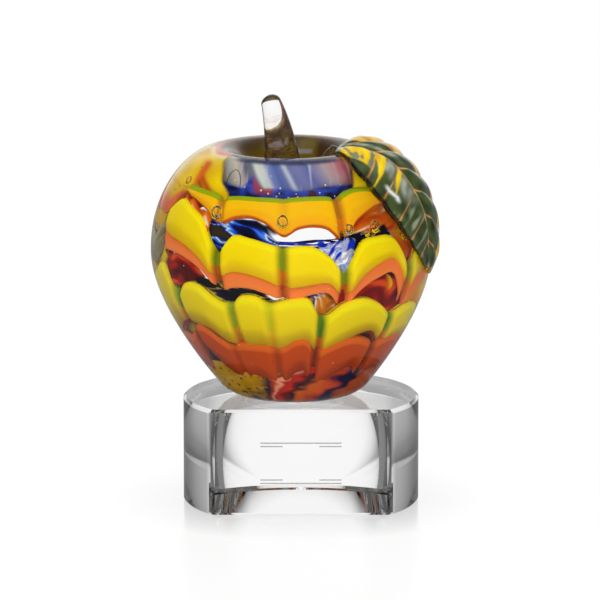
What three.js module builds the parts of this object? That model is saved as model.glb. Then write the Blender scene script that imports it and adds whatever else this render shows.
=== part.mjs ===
import * as THREE from 'three';

// Apple award: a hand-made glass apple on a cut crystal base, with crimped colour ribbons
// cased inside it, a drawn glass stem and a pressed glass leaf laid over the right shoulder.
// Millimetres, +Z up, the front faces -Y. The origin is the centre of the base's underside.

// Driving dimensions

const DEGREE = Math.PI / 180;

const base = {
  radius: 44,
  height: 40,
  // Distance from the axis to the polished front face.
  frontDistance: 29,
  // The narrow strip between the front face and the round wall.
  stripOnFront: 1.1,
  stripOnWall: 0.8,
  chamfer: 1,
  segments: 42
};

const bond = {
  radius: 13.2,
  thickness: 0.4
};

const apple = {
  // Ground flat under the apple, and the turn from it into the flank.
  pontilRadius: 13.5,
  footRadius: 28.2,
  footHeight: 5.2,
  footTurn: 4.2,
  flankRun: 8,
  flankRise: 10,
  bellyRadius: 52.2,
  bellyHeight: 54,
  bellyBelow: 16.9,
  bellyAbove: 23.9,
  shoulderReach: 10.5,
  rimRadius: 26,
  height: 93.6,
  // The hollow round the stem.
  hollowDepth: 18,
  hollowLip: 8,
  hollowWallRun: 3.4,
  hollowWallRise: 9,
  // The apple stands a little left of the base's axis, and leans left as it rises.
  offset: -2.4,
  lean: 0.026
};

const casing = {
  wall: 3.7,
  neckRadius: 9
};

const clearance = 0.3;

const ribbon = {
  layer: 1.4,
  // Room over the outermost layer, because the casing's flats dip between its edges.
  cover: 0.6,
  // Room between the clear casing and the clear heart for three layers and the roll of an edge.
  room: 7.1,
  // How far the deepest fold presses in.
  fold: 4,
  // Every ribbon's top edge rolls in, over this distance along the skin.
  roll: 5,
  // A hem curls in by this much.
  curl: 0.7,
  // The edges below were laid out on a skin of this length from crest to foot.
  laidOn: 106.81,
  // The lowest hem stops this far above the turn into the pontil flat.
  footGap: 3
};

// Each tier is one crimped band, in layers from outside in. A layer's drop is how far it hangs
// below the first one. The folds are listed from the left round to the right: bearing in degrees
// from the front, press as a share of ribbon.fold, the top and hem of the band there, and the
// top and hem halfway to the next fold. Tops and hems are distances along the skin from the
// crest. The panels round the back share the tier's last values. A deep tier's bands are long
// enough down the skin to need a row of corners halfway.
const fold = (bearing, press, top, hem, midTop, midHem) => ({ bearing, press, top, hem, midTop, midHem });

const tiers = [
  {
    name: 'tier_1',
    layers: [
      { name: 'gold', colour: 0xffb800, drop: 0 },
      { name: 'amber', colour: 0xe87410, drop: 0.8 }
    ],
    folds: [
      fold(-66, 0.7, 19.8, 24.4, 19.6, 25.4),
      fold(-36, 0.7, 22.5, 31.5, 21.5, 27.8),
      fold(-3, 0.3, 21.4, 35, 20.8, 31.2),
      fold(25.5, 1, 21.3, 37.5, 18.5, 27.5),
      fold(57, 0.9, 21.5, 28.5, 22, 39)
    ],
    back: fold(88, 0.9, 22, 34, 21, 33)
  },
  {
    name: 'tier_2',
    deep: true,
    layers: [
      { name: 'yellow', colour: 0xffe600, drop: 0 },
      { name: 'orange', colour: 0xf8762e, drop: 6 },
      { name: 'red', colour: 0xa01408, drop: -2 }
    ],
    folds: [
      fold(-74, 1, 33, 41, 27.4, 43),
      fold(-34.5, 1, 43, 54, 36.8, 51.6),
      fold(-3.5, 0.9, 40, 57, 40, 55.8),
      fold(24.5, 1, 50, 60, 38.2, 49.2),
      fold(62, 1, 50, 61, 44, 56)
    ],
    back: fold(92, 1, 46, 54, 42, 51)
  },
  {
    name: 'tier_3',
    deep: true,
    layers: [
      { name: 'yellow', colour: 0xe6c800, drop: 0 },
      { name: 'orange', colour: 0xe0701c, drop: 1.8 }
    ],
    folds: [
      fold(-95, 0.9, 66, 83, 56.5, 81),
      fold(-62, 0.9, 64, 76, 59.5, 78),
      fold(-29, 0.8, 65.5, 83, 62, 84),
      fold(-10.5, 0.5, 65, 86, 64, 83.5),
      fold(14.5, 1, 70.5, 87, 65.5, 80),
      fold(55, 1, 71, 86, 69, 84)
    ],
    back: fold(85, 1, 71, 85, 69, 84)
  },
  {
    name: 'tier_4',
    layers: [
      { name: 'orange', colour: 0xd2601a, drop: 0 },
      { name: 'red', colour: 0x8c1a12, drop: 0.8 }
    ],
    folds: [
      fold(-60, 0.9, 80.5, 90, 84, 96),
      fold(-35, 0.4, 87, 98, 88.5, 99),
      fold(-9.5, 0.6, 90.5, 102.5, 88.5, 97),
      fold(13, 0.9, 91.5, 102.5, 85, 98.5),
      fold(50, 0.9, 90, 101, 88, 98)
    ],
    back: fold(85, 0.9, 89.5, 101, 88.5, 98)
  }
];

const foldsPerTier = 12;
// Shares of the way from one fold to the next at which a band has its corners.
const corners = [0, 0.12, 0.5, 0.88];

const thread = {
  diameter: 1.3,
  turns: 1,
  sides: 4,
  colour: 0x1430b8,
  // Where each thread starts and ends along the skin, on the same length as the bands.
  runs: [
    { name: 'thread_upper', from: 35, to: 41 },
    { name: 'thread_middle', from: 57.5, to: 63.5 },
    { name: 'thread_lower', from: 85, to: 91 }
  ]
};

// The bowl of blue glass under and round the hollow.
const crown = {
  thickness: 1.2,
  rimRadius: 27.2,
  wallRadius: 28.4,
  floorRadius: 13,
  // Its rim lies this far below the apple's crest, and its floor this far below the hollow's.
  rimDrop: 5,
  floorDrop: 8.6,
  colour: 0x1838c8
};

const stem = {
  footRadius: 8.2,
  shaftRadius: 7.9,
  tipRadius: 3.3,
  height: 37.4,
  // Height at which the shaft begins to hook over to the left.
  hookHeight: 24,
  shift: -1.9,
  tipShift: -4.9,
  sides: 14,
  rings: 7
};

const leaf = {
  // Direction of the midrib, measured from the front to the right.
  bearing: 76 * DEGREE,
  // The base of the blade lies this far inside the rim's crest, the tip this far outside it.
  insideRim: 9,
  outsideRim: 58,
  halfWidth: 24.6,
  edge: 2,
  crown: 6.2,
  // The margin is drawn in between the side veins.
  veinPitch: 8.5,
  scallop: 0.8,
  ridge: 0.5,
  rows: 26,
  columns: 6
};

const stalk = {
  startRadius: 1.9,
  endRadius: 2.4,
  length: 8.5,
  sides: 10,
  rings: 7
};

// Shared shape helpers

function finish(geometry) {
  // Faces point outwards when the signed volume is positive.
  const position = geometry.getAttribute('position');
  const index = geometry.getIndex().array;
  const a = new THREE.Vector3();
  const b = new THREE.Vector3();
  const c = new THREE.Vector3();
  let volume = 0;
  for (let i = 0; i < index.length; i += 3) {
    a.fromBufferAttribute(position, index[i]);
    b.fromBufferAttribute(position, index[i + 1]);
    c.fromBufferAttribute(position, index[i + 2]);
    volume += a.dot(b.cross(c));
  }
  if (volume < 0) {
    for (let i = 0; i < index.length; i += 3) {
      const held = index[i];
      index[i] = index[i + 1];
      index[i + 1] = held;
    }
  }
  geometry.computeVertexNormals();
  return geometry;
}

// Skins a row of rings of equal count. The row closes on itself, or gets a cap at each end.
// Each square is split along its shorter diagonal, or as tilt(row, i) says.
function loft(rings, closed, tilt) {
  const count = rings[0].length;
  const positions = [];
  const index = [];
  rings.flat().forEach((point) => positions.push(point.x, point.y, point.z));
  const spans = closed ? rings.length : rings.length - 1;
  for (let row = 0; row < spans; row += 1) {
    const after = (row + 1) % rings.length;
    for (let i = 0; i < count; i += 1) {
      const next = (i + 1) % count;
      const [a, b] = [row * count + i, row * count + next];
      const [c, d] = [after * count + next, after * count + i];
      const across = rings[row][i].distanceTo(rings[after][next]);
      const back = rings[row][next].distanceTo(rings[after][i]);
      const straight = tilt ? tilt(row, i) : across < back;
      const split = straight ? [a, b, c, a, c, d] : [a, b, d, b, c, d];
      index.push(...split);
    }
  }
  if (!closed) {
    [0, rings.length - 1].forEach((row) => {
      const centre = new THREE.Vector3();
      rings[row].forEach((point) => centre.addScaledVector(point, 1 / count));
      const hub = positions.length / 3;
      positions.push(centre.x, centre.y, centre.z);
      for (let i = 0; i < count; i += 1) {
        const from = row * count + i;
        const to = row * count + ((i + 1) % count);
        index.push(hub, row === 0 ? to : from, row === 0 ? from : to);
      }
    });
  }
  const geometry = new THREE.BufferGeometry();
  geometry.setAttribute('position', new THREE.Float32BufferAttribute(positions, 3));
  geometry.setIndex(index);
  return finish(geometry);
}

// A turned solid round the Z axis. Its profile of (radius, height) points runs clockwise.
function turned(profile) {
  return new THREE.LatheGeometry([...profile].reverse(), turnedSteps).rotateX(Math.PI / 2);
}

function mesh(name, geometry, colour, roughness = 0.03) {
  const material = new THREE.MeshStandardMaterial({ color: colour, roughness, metalness: 0 });
  const piece = new THREE.Mesh(geometry, material);
  piece.name = name;
  return piece;
}

const turnedSteps = 36;
const turnedAngle = (step) => (step * 2 * Math.PI) / turnedSteps;

// Crystal base: a round block with one flat front face, chamfered top and bottom.

function buildBase() {
  const corner = -Math.asin(base.frontDistance / base.radius);
  const frontHalf = base.radius * Math.cos(corner) - base.stripOnFront;
  const wallStart = corner + base.stripOnWall / base.radius;
  const outline = new THREE.Shape();
  outline.moveTo(-frontHalf, -base.frontDistance);
  outline.lineTo(frontHalf, -base.frontDistance);
  outline.absarc(0, 0, base.radius, wallStart, Math.PI - wallStart, false);
  const block = new THREE.ExtrudeGeometry(outline, {
    depth: base.height - 2 * base.chamfer,
    curveSegments: base.segments,
    bevelThickness: base.chamfer,
    bevelSize: base.chamfer,
    bevelOffset: -base.chamfer,
    bevelSegments: 1
  });
  block.translate(0, 0, base.chamfer);
  return mesh('base_block', block, 0xf2f6f8, 0.01);
}

function buildBond() {
  const disc = new THREE.CylinderGeometry(bond.radius, bond.radius, bond.thickness, 36);
  disc.rotateX(Math.PI / 2);
  disc.translate(apple.offset, 0, base.height + bond.thickness / 2);
  return mesh('bond_disc', disc, 0xf4f6f6, 0.2);
}

// The apple's skin, from the centre of the hollow's floor over the rim down to the pontil flat.
// It is measured along its length from the rim's crest: inwards is negative.

const floor = apple.height - apple.hollowDepth;
const hollowFloorRadius = stem.footRadius + Math.abs(stem.shift) + clearance;

function skinCurves() {
  const crest = new THREE.Vector2(apple.rimRadius, apple.height);
  const belly = new THREE.Vector2(apple.bellyRadius, apple.bellyHeight);
  const foot = new THREE.Vector2(apple.footRadius, apple.footHeight);
  const floorEdge = new THREE.Vector2(hollowFloorRadius, floor);
  const hollow = new THREE.CubicBezierCurve(
    floorEdge,
    new THREE.Vector2(floorEdge.x + apple.hollowWallRun, floor + apple.hollowWallRise),
    new THREE.Vector2(crest.x - apple.hollowLip, crest.y),
    crest
  );
  const shoulder = new THREE.CubicBezierCurve(
    crest,
    new THREE.Vector2(crest.x + apple.shoulderReach, crest.y),
    new THREE.Vector2(belly.x, belly.y + apple.bellyAbove),
    belly
  );
  const flank = new THREE.CubicBezierCurve(
    belly,
    new THREE.Vector2(belly.x, belly.y - apple.bellyBelow),
    new THREE.Vector2(foot.x + apple.flankRun, foot.y + apple.flankRise),
    foot
  );
  const turn = new THREE.QuadraticBezierCurve(
    foot,
    new THREE.Vector2(foot.x - apple.footTurn, 0),
    new THREE.Vector2(apple.pontilRadius, 0)
  );
  return { hollow, shoulder, flank, turn };
}

const skinParts = skinCurves();
const hollowLength = skinParts.hollow.getLength();
const shoulderLength = skinParts.shoulder.getLength();
const flankLength = skinParts.flank.getLength();
const turnLength = skinParts.turn.getLength();
const flankEnd = shoulderLength + flankLength;

// Point on the skin at a distance from the rim's crest, sunk by a depth along the normal.
function skin(distance, depth) {
  let curve = skinParts.shoulder;
  let share = distance / shoulderLength;
  if (distance < 0) {
    curve = skinParts.hollow;
    share = 1 + distance / hollowLength;
  } else if (distance > flankEnd) {
    curve = skinParts.turn;
    share = (distance - flankEnd) / turnLength;
  } else if (distance > shoulderLength) {
    curve = skinParts.flank;
    share = (distance - shoulderLength) / flankLength;
  }
  const place = THREE.MathUtils.clamp(share, 0, 1);
  const point = curve.getPointAt(place);
  const along = curve.getTangentAt(place);
  return new THREE.Vector2(point.x + along.y * depth, point.y - along.x * depth);
}

// Evenly spaced distances along the skin, both ends included.
function stretch(from, to, spans) {
  return Array.from({ length: spans + 1 }, (_, i) => from + ((to - from) * i) / spans);
}

// Everything in the apple leans with it.
function leaned(geometry) {
  return geometry.applyMatrix4(new THREE.Matrix4().makeShear(0, 0, 0, 0, -apple.lean, 0));
}

function around(angle, point) {
  return new THREE.Vector3(point.x * Math.sin(angle), -point.x * Math.cos(angle), point.y);
}

// Clear outer glass: it fills the bowl under the hollow, and is open at the pontil where the
// heart comes out.

function buildCasing() {
  const outer = [
    ...stretch(-hollowLength, 0, 4),
    ...stretch(0, shoulderLength, 6).slice(1),
    ...stretch(shoulderLength, flankEnd, 5).slice(1),
    ...stretch(flankEnd, flankEnd + turnLength, 2).slice(1)
  ];
  const inner = outer.filter((distance) => distance > bowlReach).reverse();
  const profile = [
    new THREE.Vector2(0, floor),
    ...outer.map((distance) => skin(distance, 0)),
    new THREE.Vector2(casing.neckRadius, 0),
    new THREE.Vector2(casing.neckRadius, casing.wall),
    ...inner.map((distance) => skin(distance, casing.wall)),
    new THREE.Vector2(crown.rimRadius, bowlRim + clearance),
    ...bowlLine(crown.thickness + clearance)
  ];
  return mesh('apple_casing', leaned(turned(profile)), 0xeef4f4);
}

// Blue glass bowl between the casing's lump of glass under the hollow and the heart. Its line
// runs from the rim down the wall and in to the axis, offset inwards by a depth.

const bowlRim = apple.height - crown.rimDrop;
const bowlFloor = floor - crown.floorDrop;
const bowlReach = 5;

function bowlLine(depth) {
  const wall = new THREE.CubicBezierCurve(
    new THREE.Vector2(crown.rimRadius, bowlRim),
    new THREE.Vector2(crown.wallRadius + 1, bowlRim - 9),
    new THREE.Vector2(crown.wallRadius, bowlFloor),
    new THREE.Vector2(crown.floorRadius, bowlFloor)
  );
  const points = stretch(0, 1, 4).map((share) => {
    const point = wall.getPointAt(share);
    const along = wall.getTangentAt(share);
    return new THREE.Vector2(point.x + along.y * depth, point.y - along.x * depth);
  });
  points[0].y = bowlRim;
  points.push(new THREE.Vector2(0, bowlFloor + depth));
  return points;
}

function buildCrown() {
  const profile = [...bowlLine(crown.thickness).reverse(), ...bowlLine(0)];
  return mesh('blue_crown', leaned(turned(profile)), crown.colour);
}

// Ribbons: each band goes once round the apple, and its edges dip or rise towards the folds.

const laidScale = flankEnd / ribbon.laidOn;
const heartDepth = casing.wall + ribbon.cover + ribbon.room + ribbon.fold + clearance;

function allFolds(tier) {
  const { folds, back } = tier;
  const spare = foldsPerTier - folds.length;
  const last = folds[folds.length - 1].bearing;
  const step = (folds[0].bearing + 360 - last) / (spare + 1);
  return [...folds, ...stretch(1, spare, spare - 1).map((k) => ({ ...back, bearing: last + k * step }))];
}

// The band's corners in order round the apple.
function bandCorners(tier) {
  const folds = allFolds(tier);
  const limit = flankEnd - ribbon.footGap;
  return folds.flatMap((here, i) => {
    const next = folds[(i + 1) % folds.length];
    const sweep = (next.bearing - here.bearing + 360) % 360;
    return corners.map((share) => {
      const nearer = share < 0.5 ? here : next;
      const pull = (2 * share - 1) ** 2;
      const top = THREE.MathUtils.lerp(here.midTop, nearer.top, pull) * laidScale;
      const hem = Math.min(THREE.MathUtils.lerp(here.midHem, nearer.hem, pull) * laidScale, limit);
      const press = share === 0 ? here.press * ribbon.fold : 0;
      return { angle: (here.bearing + share * sweep) * DEGREE, top, hem, press };
    });
  });
}

// One layer of one tier: a closed band with a rolled top edge and a curled hem.
function buildLayer(tier, order) {
  const { name, colour, drop } = tier.layers[order];
  const count = tier.layers.length;
  const stack = count * ribbon.layer + (count - 1) * clearance;
  const tuck = ribbon.room - stack;
  const face = casing.wall + ribbon.cover + order * (ribbon.layer + clearance);
  const lipped = drop > 2;
  const rings = bandCorners(tier).map(({ angle, top, hem, press }) => {
    const roll = Math.min(ribbon.roll, 0.7 * (hem - top));
    const deep = tuck * (roll / ribbon.roll);
    const flat = top + roll;
    const rows = [[top, deep]];
    if (order === 0) {
      rows.push([top + 0.3 * roll, 0.4 * (deep + press)]);
    }
    rows.push([flat, press]);
    if (tier.deep && drop >= 0) {
      rows.push([(flat + hem) / 2, press]);
    }
    if (lipped) {
      rows.push([hem, press + ribbon.curl]);
    }
    const end = drop < 0 ? (flat + hem) / 2 : hem + drop;
    rows.push([end, press + (lipped ? 2 : 1) * ribbon.curl]);
    const side = (extra) => rows.map(([d, sink]) => around(angle, skin(d, face + sink + extra)));
    return [...side(0), ...side(ribbon.layer).reverse()];
  });
  const turn = rings[0].length;
  // Mirrored diagonals on the two sides of a fold, and the same ones in every layer.
  const tilt = (row, i) => (row % corners.length < 2) !== (i < turn / 2);
  const band = loft(rings, true, tilt);
  return mesh(`${tier.name}_${name}`, leaned(band), colour, 0.15);
}

// Clear heart: it carries the ribbons, and its neck comes down through the casing's opening.

function buildHeart() {
  const neck = casing.neckRadius - clearance;
  const bandTop = Math.min(...bandCorners(tiers[0]).map(({ top }) => top)) - clearance;
  const shoulders = stretch(bowlReach + 1, bandTop, 2).map((distance, row) => {
    const depth = THREE.MathUtils.lerp(casing.wall + ribbon.cover, heartDepth, row / 2);
    return skin(distance, depth);
  });
  const body = stretch(bandTop, flankEnd, 5).slice(1).map((distance) => skin(distance, heartDepth));
  const profile = [
    ...bowlLine(-clearance).reverse(),
    ...shoulders,
    ...body,
    new THREE.Vector2(neck, skin(flankEnd, heartDepth).y),
    new THREE.Vector2(neck, 0),
    new THREE.Vector2(0, 0)
  ];
  return mesh('apple_heart', leaned(turned(profile)), 0xe8f0f2);
}

// Blue glass threads wound round the heart, behind the ribbons.

function buildThread({ name, from, to }) {
  const radius = thread.diameter / 2;
  const depth = heartDepth - clearance - radius;
  const steps = thread.turns * turnedSteps;
  const rings = stretch(from * laidScale, to * laidScale, steps).map((distance, step) => {
    return stretch(0, thread.sides - 1, thread.sides - 1).map((side) => {
      const turn = (side * 2 * Math.PI) / thread.sides;
      const aside = radius * Math.cos(turn);
      return around(turnedAngle(step), skin(distance + aside, depth + radius * Math.sin(turn)));
    });
  });
  return mesh(name, leaned(loft(rings, false)), thread.colour);
}

// Stem: a tapered rod of clear glass that stands on the hollow's floor and hooks to the left.

function ringAcross(centre, along, radius, sides) {
  const sideways = new THREE.Vector3(0, 1, 0).cross(along).normalize();
  const forward = along.clone().cross(sideways).normalize();
  return stretch(0, sides - 1, sides - 1).map((side) => {
    const turn = (side * 2 * Math.PI) / sides;
    const point = centre.clone().addScaledVector(sideways, radius * Math.cos(turn));
    return point.addScaledVector(forward, radius * Math.sin(turn));
  });
}

function buildStem() {
  const line = new THREE.QuadraticBezierCurve3(
    new THREE.Vector3(stem.shift, 0, floor),
    new THREE.Vector3(stem.shift, 0, floor + stem.hookHeight),
    new THREE.Vector3(stem.shift + stem.tipShift, 0, floor + stem.height)
  );
  const length = line.getLength();
  const shaft = stretch(0, length - stem.tipRadius, stem.rings);
  const rings = shaft.map((distance) => {
    const share = distance / (length - stem.tipRadius);
    const flare = (stem.footRadius - stem.shaftRadius) * (1 - share) ** 4;
    const radius = THREE.MathUtils.lerp(stem.shaftRadius, stem.tipRadius, share) + flare;
    const place = distance / length;
    return ringAcross(line.getPointAt(place), line.getTangentAt(place), radius, stem.sides);
  });
  // The rounded tip.
  [30, 55, 75].forEach((degrees) => {
    const lift = stem.tipRadius * Math.sin(degrees * DEGREE);
    const radius = stem.tipRadius * Math.cos(degrees * DEGREE);
    const place = (length - stem.tipRadius + lift) / length;
    rings.push(ringAcross(line.getPointAt(place), line.getTangentAt(place), radius, stem.sides));
  });
  return mesh('stem', leaned(loft(rings, false)), 0xf0f0ea);
}

// Leaf: a thick pressed blade that follows the shoulder, with a scalloped margin and a midrib.

const leafLength = leaf.insideRim + leaf.outsideRim;

function leafHalfWidth(share) {
  const swell = Math.sin(Math.PI * share ** 0.9) ** 0.8;
  const wave = Math.cos((2 * Math.PI * leafLength * share) / leaf.veinPitch);
  return leaf.halfWidth * swell - leaf.scallop * (1 - wave) * swell;
}

// Point over the skin: sideways from the midrib by a share of the half width.
function overSkin(distance, sideways, height) {
  const point = skin(distance, -height);
  return around(leaf.bearing + sideways / skin(distance, 0).x, point);
}

function buildBlade() {
  const rings = stretch(0.015, 0.985, leaf.rows).map((share) => {
    const distance = leafLength * share - leaf.insideRim;
    const half = leafHalfWidth(share);
    const swell = Math.sqrt(half / leaf.halfWidth);
    const across = stretch(-1, 1, leaf.columns);
    const face = across.map((u) => {
      const dome = (leaf.crown - leaf.edge) * (1 - u * u) * swell;
      const rib = Math.abs(u) < 1 / leaf.columns ? leaf.ridge * swell : 0;
      return overSkin(distance, u * half, clearance + leaf.edge * swell + dome + rib);
    });
    const back = across.map((u) => overSkin(distance, u * half, clearance));
    return [...face, ...back.reverse()];
  });
  return mesh('leaf_blade', leaned(loft(rings, false)), 0x3c5238, 0.1);
}

// Stalk: a clear trail of glass from beside the stem up the hollow's wall to the leaf.

function buildStalk() {
  const end = leafLength * 0.015 - leaf.insideRim - clearance;
  const rings = stretch(end - stalk.length, end, stalk.rings).map((distance, row) => {
    const radius = THREE.MathUtils.lerp(stalk.startRadius, stalk.endRadius, row / stalk.rings);
    return stretch(0, stalk.sides - 1, stalk.sides - 1).map((side) => {
      const turn = (side * 2 * Math.PI) / stalk.sides;
      const height = clearance + radius + radius * Math.sin(turn);
      return overSkin(distance, radius * Math.cos(turn), height);
    });
  });
  return mesh('leaf_stalk', leaned(loft(rings, false)), 0xf0f0ea);
}

// Assembly

const award = new THREE.Group();
award.add(buildBase());
award.add(buildBond());

const fruit = new THREE.Group();
fruit.position.set(apple.offset, 0, base.height + bond.thickness);
fruit.add(buildCasing());
fruit.add(buildHeart());
fruit.add(buildCrown());
tiers.forEach((tier) => {
  tier.layers.forEach((layer, order) => fruit.add(buildLayer(tier, order)));
});
thread.runs.forEach((run) => fruit.add(buildThread(run)));
fruit.add(buildStem());
fruit.add(buildBlade());
fruit.add(buildStalk());
award.add(fruit);

export default award;
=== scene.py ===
"""A glass apple award on a crystal base: colour ribbons, threads and bubbles cased in clear glass."""

import math
import random
from bisect import bisect_right
from functools import lru_cache

import bmesh
import bpy
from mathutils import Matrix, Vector, noise


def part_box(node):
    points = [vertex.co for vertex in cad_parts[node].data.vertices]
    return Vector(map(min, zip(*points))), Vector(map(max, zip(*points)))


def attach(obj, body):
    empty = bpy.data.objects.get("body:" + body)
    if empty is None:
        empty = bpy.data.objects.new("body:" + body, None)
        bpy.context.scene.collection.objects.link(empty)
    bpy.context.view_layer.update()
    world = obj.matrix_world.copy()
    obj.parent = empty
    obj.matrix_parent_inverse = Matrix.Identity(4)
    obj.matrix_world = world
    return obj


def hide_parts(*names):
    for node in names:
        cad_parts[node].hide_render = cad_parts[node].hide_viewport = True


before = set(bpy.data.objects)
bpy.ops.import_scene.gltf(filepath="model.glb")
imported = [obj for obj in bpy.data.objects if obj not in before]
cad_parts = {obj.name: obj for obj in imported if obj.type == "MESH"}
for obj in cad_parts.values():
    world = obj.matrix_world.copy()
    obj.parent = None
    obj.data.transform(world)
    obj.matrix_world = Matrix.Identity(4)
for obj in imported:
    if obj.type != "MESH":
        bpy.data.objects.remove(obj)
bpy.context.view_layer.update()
scene = bpy.context.scene

MM = 0.001
TAU = 2 * math.pi

# The apple's place and lean, read from the frame's solids.
bond_low, bond_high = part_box("bond_disc")
base_low, base_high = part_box("base_block")
APPLE_FOOT = bond_high[2]
APPLE_X = (bond_low[0] + bond_high[0]) / 2
LEAN = 0.026

# The apple's outline in millimetres, the same curves as the solids.
PONTIL_R = 13.5
FOOT = (28.2, 5.2)
FOOT_TURN = 4.2
FLANK = (8.0, 10.0)
BELLY = (52.2, 54.0)
BELLY_BELOW = 16.9
BELLY_ABOVE = 23.9
SHOULDER_REACH = 10.5
CREST = (26.0, 93.6)
HOLLOW_DEPTH = 18.0
HOLLOW_LIP = 8.0
HOLLOW_WALL = (3.4, 9.0)
FLOOR_R = 10.4
GAP = 0.3


def smooth(t):
    t = min(max(t, 0.0), 1.0)
    return t * t * (3 - 2 * t)


def mix(a, b, t):
    return a + (b - a) * t


def bezier(points, t):
    while len(points) > 1:
        points = [(mix(p[0], q[0], t), mix(p[1], q[1], t)) for p, q in zip(points, points[1:])]
    return points[0]


class Outline:
    """A row of curves in (radius, height), read by the length along it."""

    def __init__(self, curves, start=0.0, samples=240):
        self.points = [bezier(curve, i / samples) for curve in curves for i in range(samples)]
        self.points.append(curves[-1][-1])
        self.distances = [start]
        for p, q in zip(self.points, self.points[1:]):
            self.distances.append(self.distances[-1] + math.dist(p, q))

    def at(self, distance, depth=0.0):
        i = min(max(bisect_right(self.distances, distance) - 1, 0), len(self.points) - 2)
        p, q = self.points[i], self.points[i + 1]
        run = self.distances[i + 1] - self.distances[i]
        along = ((q[0] - p[0]) / run, (q[1] - p[1]) / run)
        past = distance - self.distances[i]
        return (
            p[0] + along[0] * past + along[1] * depth,
            p[1] + along[1] * past - along[0] * depth,
        )


HOLLOW_FLOOR = CREST[1] - HOLLOW_DEPTH
hollow_curve = [
    (FLOOR_R, HOLLOW_FLOOR),
    (FLOOR_R + HOLLOW_WALL[0], HOLLOW_FLOOR + HOLLOW_WALL[1]),
    (CREST[0] - HOLLOW_LIP, CREST[1]),
    CREST,
]
shoulder_curve = [
    CREST,
    (CREST[0] + SHOULDER_REACH, CREST[1]),
    (BELLY[0], BELLY[1] + BELLY_ABOVE),
    BELLY,
]
flank_curve = [
    BELLY,
    (BELLY[0], BELLY[1] - BELLY_BELOW),
    (FOOT[0] + FLANK[0], FOOT[1] + FLANK[1]),
    FOOT,
]
turn_curve = [FOOT, (FOOT[0] - FOOT_TURN, 0.0), (PONTIL_R, 0.0)]
HOLLOW_LENGTH = Outline([hollow_curve]).distances[-1]
skin = Outline([hollow_curve, shoulder_curve, flank_curve, turn_curve], -HOLLOW_LENGTH)
SKIN_END = skin.distances[-1]


def set_down(angle, point):
    """A (radius, height) point of the apple at an angle from the front, in the row frame."""
    x = point[0] * math.sin(angle) - LEAN * point[1]
    y = -point[0] * math.cos(angle)
    return Vector((APPLE_X + x * MM, y * MM, APPLE_FOOT + point[1] * MM))


def inside(degrees, distance, depth=0.0):
    """A point under the skin, at degrees round from the front to the right."""
    return set_down(math.radians(degrees), skin.at(distance, depth))


def stir(x, y, z):
    """Smooth noise from -1 to 1."""
    return noise.fractal(Vector((x, y, z)), 0.8, 2.0, 3)


def flow(x, y, z):
    """Slow, even noise from about -1 to 1, for long streaks."""
    return 1.6 * noise.noise(Vector((x, y, z)))


# Mesh helpers


def span(a, b, count):
    return [mix(a, b, i / count) for i in range(count + 1)]


def put(name, data):
    """A new object in the scene."""
    item = bpy.data.objects.new(name, data)
    scene.collection.objects.link(item)
    return item


def new_piece(name, shape, material, flat=False):
    """Turns the shape's faces outwards and puts it in the scene."""
    bmesh.ops.remove_doubles(shape, verts=shape.verts, dist=1e-7)
    bmesh.ops.recalc_face_normals(shape, faces=shape.faces)
    if shape.calc_volume(signed=True) < 0:
        bmesh.ops.reverse_faces(shape, faces=shape.faces)
    mesh = bpy.data.meshes.new(name)
    shape.to_mesh(mesh)
    shape.free()
    for face in mesh.polygons:
        face.use_smooth = not flat
    piece = put(name, mesh)
    mesh.materials.append(material)
    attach(piece, "root")
    return piece


def spun(section, steps, closed=True):
    """Spins a section of (radius, height) points round Z. An open section ends on the axis."""
    shape = bmesh.new()
    verts = [shape.verts.new((r, 0, z)) for r, z in section]
    pairs = list(zip(verts, verts[1:]))
    if closed:
        pairs.append((verts[-1], verts[0]))
    edges = [shape.edges.new(pair) for pair in pairs]
    bmesh.ops.spin(
        shape, geom=verts + edges, cent=(0, 0, 0), axis=(0, 0, 1), angle=TAU, steps=steps,
        use_merge=True, use_duplicate=False,
    )
    return shape


def seen_angle(co):
    """The angle of a point round Z, from the front to the right."""
    return math.atan2(co.x, -co.y)


def sheet(columns, rows, thick, place, colour):
    """A thin closed slab over place(u, v), with u and v from 0 to 1, painted by colour(u, v)."""
    shape = bmesh.new()
    bmesh.ops.create_grid(shape, x_segments=columns, y_segments=rows, size=0.5)
    tint = shape.verts.layers.float_color.new("tint")
    spots = {v: (v.co.x + 0.5, v.co.y + 0.5) for v in shape.verts}
    for vert, (u, v) in spots.items():
        vert.co = place(u, v)
        vert[tint] = colour(u, v)
    bmesh.ops.recalc_face_normals(shape, faces=shape.faces)
    bmesh.ops.solidify(shape, geom=shape.faces[:], thickness=thick * MM)
    return shape


def tube(shape, points, radii, sides=8):
    """Adds a closed tube of circles along a row of points."""
    made = bmesh.ops.create_circle(shape, segments=sides, radius=1.0, cap_ends=True)
    ring = made["verts"]
    angles = [math.atan2(v.co.y, v.co.x) for v in ring]
    edges = list({e for v in ring for e in v.link_edges})
    side = Vector((0, 0, 1))
    for i, (point, radius) in enumerate(zip(points, radii)):
        ahead = points[min(i + 1, len(points) - 1)] - points[max(i - 1, 0)]
        ahead.normalize()
        side = (side - ahead * side.dot(ahead)).normalized()
        across = ahead.cross(side)
        if i:
            grown = bmesh.ops.extrude_edge_only(shape, edges=edges)
            ring = [g for g in grown["geom"] if isinstance(g, bmesh.types.BMVert)]
            edges = [g for g in grown["geom"] if isinstance(g, bmesh.types.BMEdge)]
            edges = [e for e in edges if e.verts[0] in ring and e.verts[1] in ring]
        for vert, angle in zip(ring, angles):
            vert.co = point + (side * math.cos(angle) + across * math.sin(angle)) * radius * MM
    bmesh.ops.contextual_create(shape, geom=edges)


# Finishes


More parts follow.
